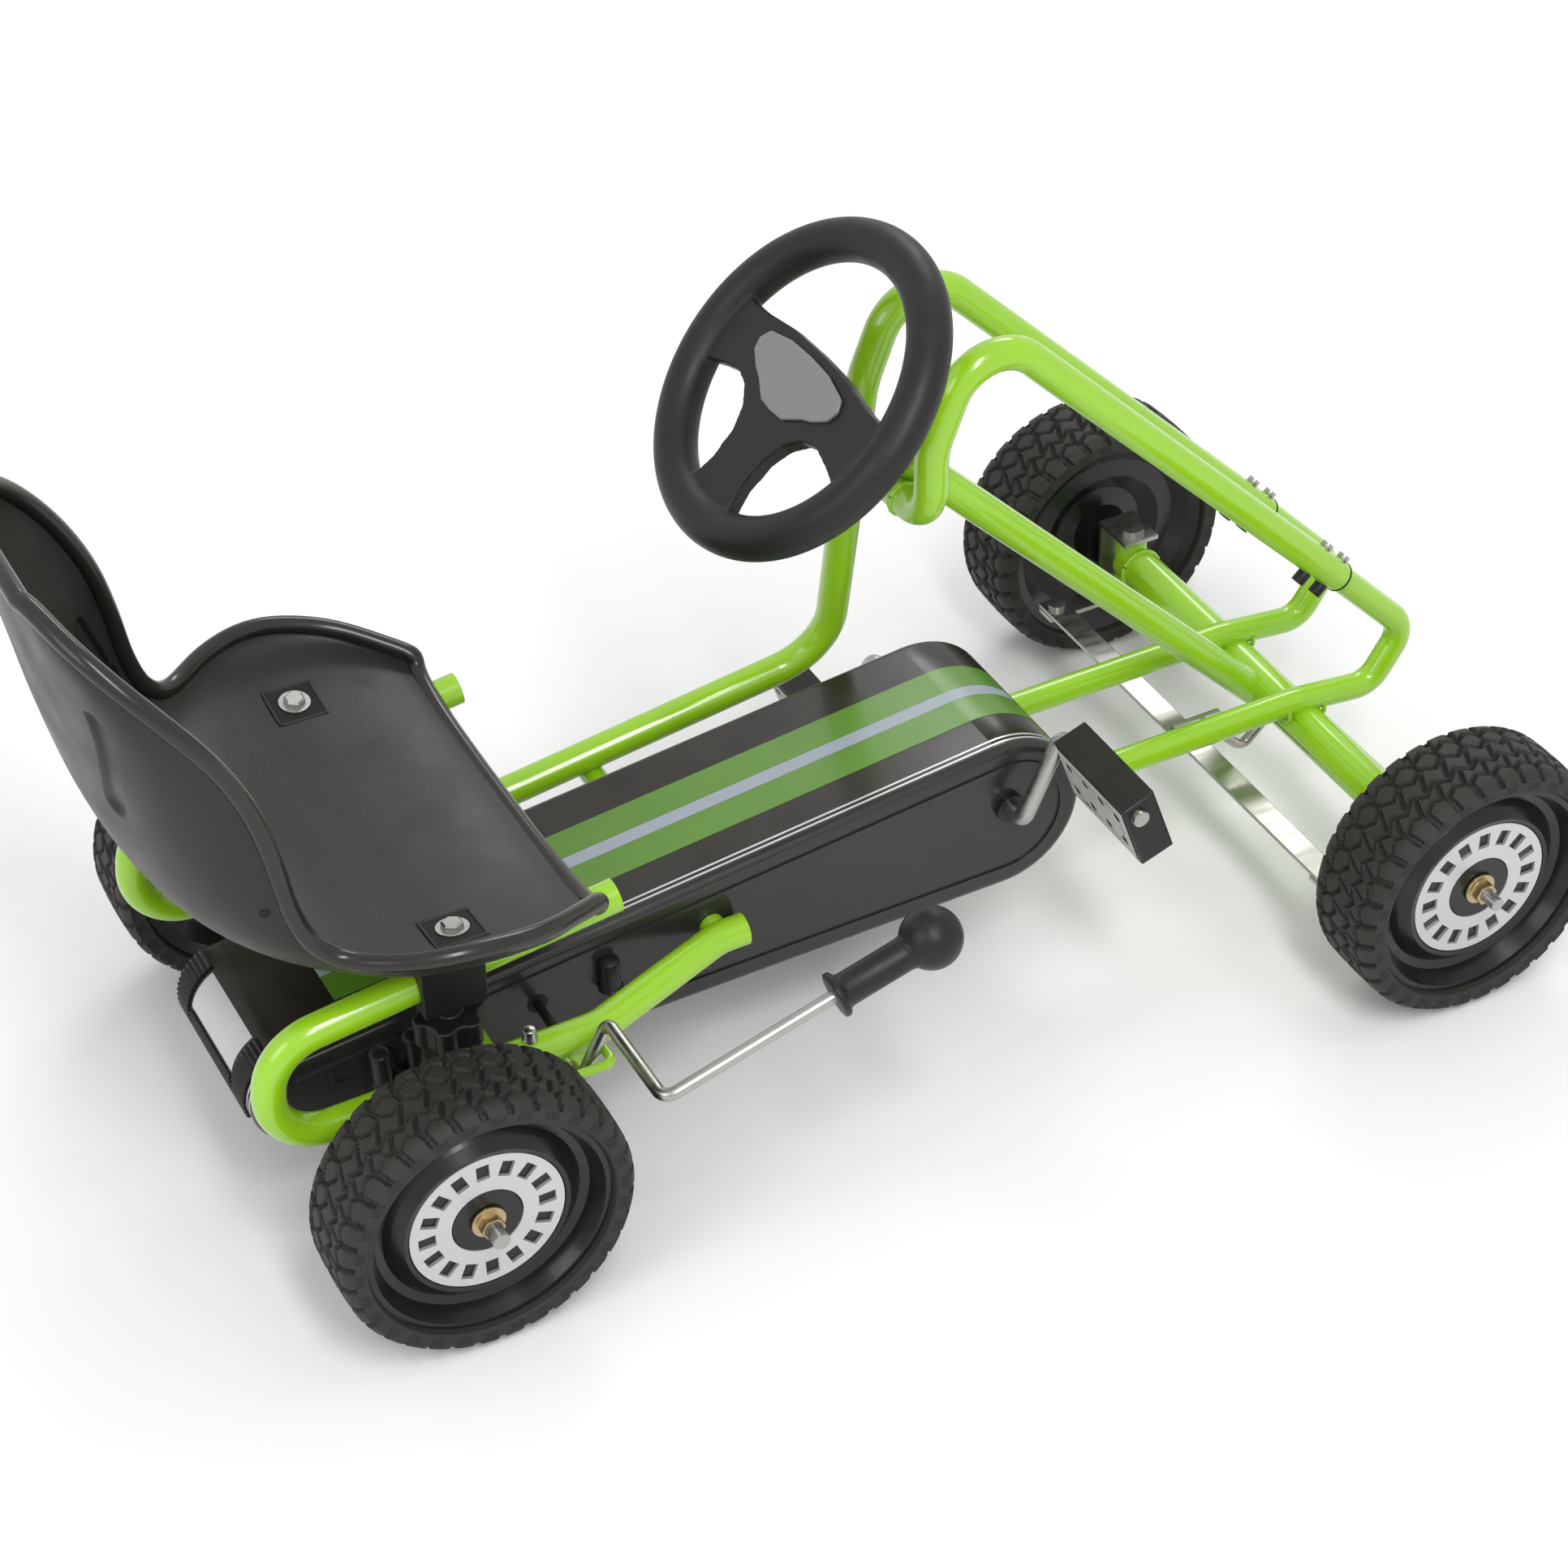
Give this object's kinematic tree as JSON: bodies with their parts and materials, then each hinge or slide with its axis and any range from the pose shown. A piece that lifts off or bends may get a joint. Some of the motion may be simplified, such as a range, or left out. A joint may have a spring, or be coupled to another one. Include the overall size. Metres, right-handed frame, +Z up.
{
  "type": "pedal go kart",
  "caption": "Ride-on pedal go kart: bent green tube frame, bucket seat on rails, steered front axle, chain case with crank and pedals, hand brake lever, treaded wheels.",
  "frame": {"origin": "on the ground, in the middle of the kart's length and width", "axes": "+X forward, +Y to the driver's left, +Z up"},
  "size_m": [1.0303, 0.5844, 0.5759],
  "materials": {
    "frame_green": "gloss lime powder coat",
    "tyre_foam": "matt moulded foam rubber",
    "rim_plastic": "gloss black moulding",
    "insert_silver": "satin silver",
    "grip_black": "satin black moulding",
    "zinc_steel": "bright zinc plate",
    "nut_zinc": "yellow passivated zinc",
    "case_black": "satin black moulding with soft gloss",
    "stripe_grey": "silver-grey film",
    "stripe_green": "green film",
    "chain_steel": "oiled dark steel",
    "bush_black": "matt black",
    "pedal_black": "matt black",
    "pedal_plate": "grey moulding",
    "seat_black": "satin grained black",
    "saddle_black": "matt black",
    "wheel_black": "matt black",
    "badge_silver": "silver-grey"
  },
  "bodies": {
    "chassis": {"rear_loop_left": "frame_green", "rear_loop_right": "frame_green", "main_tube_left": "frame_green", "main_tube_right": "frame_green", "bumper_tube_left": "frame_green", "bumper_tube_right": "frame_green", "frame_cross_tubes": "frame_green", "joint_bolts": "zinc_steel", "joint_bolt_caps": "bush_black", "front_axle_beam": "frame_green", "steering_column_tube": "frame_green", "rear_axle_brackets": "frame_green", "rear_axle_bushes": "bush_black", "drive_chain": "chain_steel", "crank_bushes": "bush_black", "chain_case_body": "case_black", "chain_case_cover": "case_black", "case_seam_lines": "stripe_grey", "case_stripes_green": "stripe_green", "case_stripe_grey": "stripe_grey", "brake_bracket": "frame_green"},
    "seat": {"seat_shell": "seat_black", "seat_saddles": "saddle_black"},
    "knob_left": {"clamp_knob_left": "grip_black"},
    "knob_right": {"clamp_knob_right": "grip_black"},
    "steering": {"steering_shaft": "zinc_steel", "steering_wheel": "wheel_black", "steering_wheel_badge": "badge_silver"},
    "knuckle_left": {"steering_knuckle_left": "zinc_steel", "kingpin_left": "zinc_steel", "front_nut_left": "nut_zinc"},
    "knuckle_right": {"steering_knuckle_right": "zinc_steel", "kingpin_right": "zinc_steel", "front_nut_right": "nut_zinc"},
    "tie_rod": {"tie_rod": "zinc_steel", "tie_rod_bolts": "zinc_steel"},
    "wheel_front_left": {"tyre_front_left": "tyre_foam", "rim_front_left": "rim_plastic", "insert_front_left": "insert_silver"},
    "wheel_front_right": {"tyre_front_right": "tyre_foam", "rim_front_right": "rim_plastic", "insert_front_right": "insert_silver"},
    "rear_axle": {"rear_axle_shaft": "zinc_steel", "rear_axle_nuts": "nut_zinc", "axle_sprocket": "chain_steel", "tyre_rear_left": "tyre_foam", "rim_rear_left": "rim_plastic", "insert_rear_left": "insert_silver"},
    "wheel_rear_right": {"tyre_rear_right": "tyre_foam", "rim_rear_right": "rim_plastic", "insert_rear_right": "insert_silver"},
    "crank": {"crank_rod": "zinc_steel", "chainring": "chain_steel"},
    "pedal_left": {"pedal_block_left": "pedal_black", "pedal_plate_left": "pedal_plate"},
    "pedal_right": {"pedal_block_right": "pedal_black", "pedal_plate_right": "pedal_plate"},
    "brake_lever": {"brake_lever_rod": "zinc_steel", "brake_lever_grip": "grip_black"}
  },
  "joints": [
    {"name": "seat_slide", "type": "slide", "parent": "chassis", "child": "seat", "axis": [0.9933, 0, 0.1152], "range_m": [-0.02, 0.03]},
    {"name": "knob_left_turn", "type": "hinge", "parent": "seat", "child": "knob_left", "pos_m": [-0.30495, 0.127, 0.19], "axis": [0, 0, 1], "continuous": true},
    {"name": "knob_right_turn", "type": "hinge", "parent": "seat", "child": "knob_right", "pos_m": [-0.30495, -0.127, 0.19], "axis": [0, 0, 1], "continuous": true},
    {"name": "kingpin_left_turn", "type": "hinge", "parent": "chassis", "child": "knuckle_left", "pos_m": [0.41005, 0.187, 0.1025], "axis": [0, 0, 1], "range_deg": [-24, 24]},
    {"name": "kingpin_right_turn", "type": "hinge", "parent": "chassis", "child": "knuckle_right", "pos_m": [0.41005, -0.187, 0.1025], "axis": [0, 0, 1], "range_deg": [-24, 24]},
    {"name": "steering_turn", "type": "hinge", "parent": "chassis", "child": "steering", "pos_m": [0.40505, 0, 0.098], "axis": [-0.6996, 0, 0.7146], "range_deg": [-39.5, 39.5]},
    {"name": "tie_rod_pivot", "type": "hinge", "parent": "knuckle_left", "child": "tie_rod", "pos_m": [0.34255, 0.187, 0.08], "axis": [0, 0, 1], "range_deg": [-24, 24]},
    {"name": "front_left_spin", "type": "hinge", "parent": "knuckle_left", "child": "wheel_front_left", "pos_m": [0.41005, 0.247, 0.1025], "axis": [0, 1, 0], "continuous": true},
    {"name": "front_right_spin", "type": "hinge", "parent": "knuckle_right", "child": "wheel_front_right", "pos_m": [0.41005, -0.247, 0.1025], "axis": [0, 1, 0], "continuous": true},
    {"name": "rear_axle_spin", "type": "hinge", "parent": "chassis", "child": "rear_axle", "pos_m": [-0.32995, 0, 0.1025], "axis": [0, 1, 0], "continuous": true},
    {"name": "rear_right_spin", "type": "hinge", "parent": "chassis", "child": "wheel_rear_right", "pos_m": [-0.32995, -0.206, 0.1025], "axis": [0, 1, 0], "continuous": true},
    {"name": "crank_spin", "type": "hinge", "parent": "chassis", "child": "crank", "pos_m": [0.14505, 0, 0.142], "axis": [0, 1, 0], "continuous": true},
    {"name": "pedal_left_turn", "type": "hinge", "parent": "crank", "child": "pedal_left", "pos_m": [0.11547, 0.18, 0.07856], "axis": [0, 1, 0], "continuous": true},
    {"name": "pedal_right_turn", "type": "hinge", "parent": "crank", "child": "pedal_right", "pos_m": [0.17463, -0.1454, 0.20544], "axis": [0, 1, 0], "continuous": true},
    {"name": "brake_lever_lift", "type": "hinge", "parent": "chassis", "child": "brake_lever", "pos_m": [-0.22595, -0.13, 0.11], "axis": [0, -1, 0], "range_deg": [0, 40]}
  ],
  "couplings": [
    {"joint": "kingpin_right_turn", "follows": "kingpin_left_turn", "ratio": 1},
    {"joint": "tie_rod_pivot", "follows": "kingpin_left_turn", "ratio": -1},
    {"joint": "steering_turn", "follows": "kingpin_left_turn", "ratio": 1.6253},
    {"joint": "crank_spin", "follows": "rear_axle_spin", "ratio": 0.66667}
  ]
}
